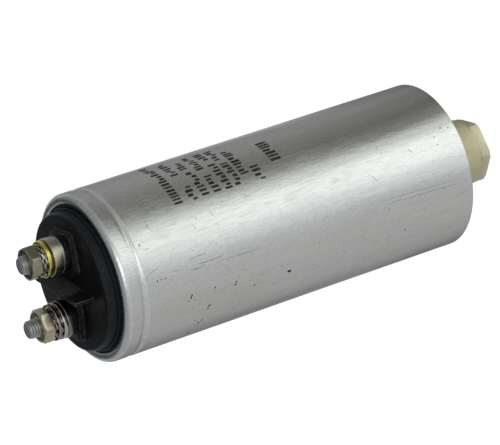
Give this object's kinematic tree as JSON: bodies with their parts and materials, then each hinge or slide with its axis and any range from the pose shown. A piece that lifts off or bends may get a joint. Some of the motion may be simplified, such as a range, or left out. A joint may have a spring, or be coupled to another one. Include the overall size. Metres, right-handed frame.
{
  "type": "film capacitor",
  "caption": "Round aluminium-can film capacitor with threaded stud terminals on a black insulating deck, a barrier wall between them and a nylon nut on its base stud.",
  "frame": {"origin": "centre of the nylon base nut's free end, the face the part rests on", "axes": "+Z along the can's axis from the base nut to the terminals; +X from the axis to the terminal with the tall collar"},
  "size_m": [0.055, 0.055, 0.1711],
  "materials": {
    "can_aluminium": "drawn, with faint lengthwise streaks and handling marks",
    "nylon": "satin, natural cream",
    "black_moulding": "satin black",
    "gasket_rubber": "matt",
    "stud_zinc": "zinc plated",
    "collar_steel": "zinc plated, dull",
    "yellow_zinc": "yellow passivated zinc",
    "cream_steel": "pale passivated zinc",
    "copper_plate": "copper coloured, dull",
    "tooth_steel": "dark zinc",
    "nut_zinc": "olive yellow passivated zinc",
    "film": "metallised film",
    "core_plastic": "natural",
    "sprayed_zinc": "sprayed, rough",
    "tinned_copper": "tinned",
    "sleeve_plastic": "natural",
    "insulator_plastic": "natural",
    "resin": "cast, dark amber"
  },
  "bodies": {
    "root": {"can": "can_aluminium", "base_nut": "nylon", "terminal_deck": "black_moulding", "deck_gasket": "gasket_rubber", "terminal_studs": "stud_zinc", "tall_collar": "collar_steel", "yellow_washer": "yellow_zinc", "short_collar": "collar_steel", "cream_washer": "cream_steel", "copper_washer": "copper_plate", "tooth_washers": "tooth_steel", "terminal_nuts": "nut_zinc", "film_winding": "film", "winding_core": "core_plastic", "lower_contact": "sprayed_zinc", "upper_contact": "sprayed_zinc", "upper_lead": "tinned_copper", "lower_lead": "tinned_copper", "winding_sleeve": "sleeve_plastic", "base_insulator": "insulator_plastic", "resin_fill": "resin"}
  },
  "joints": []
}
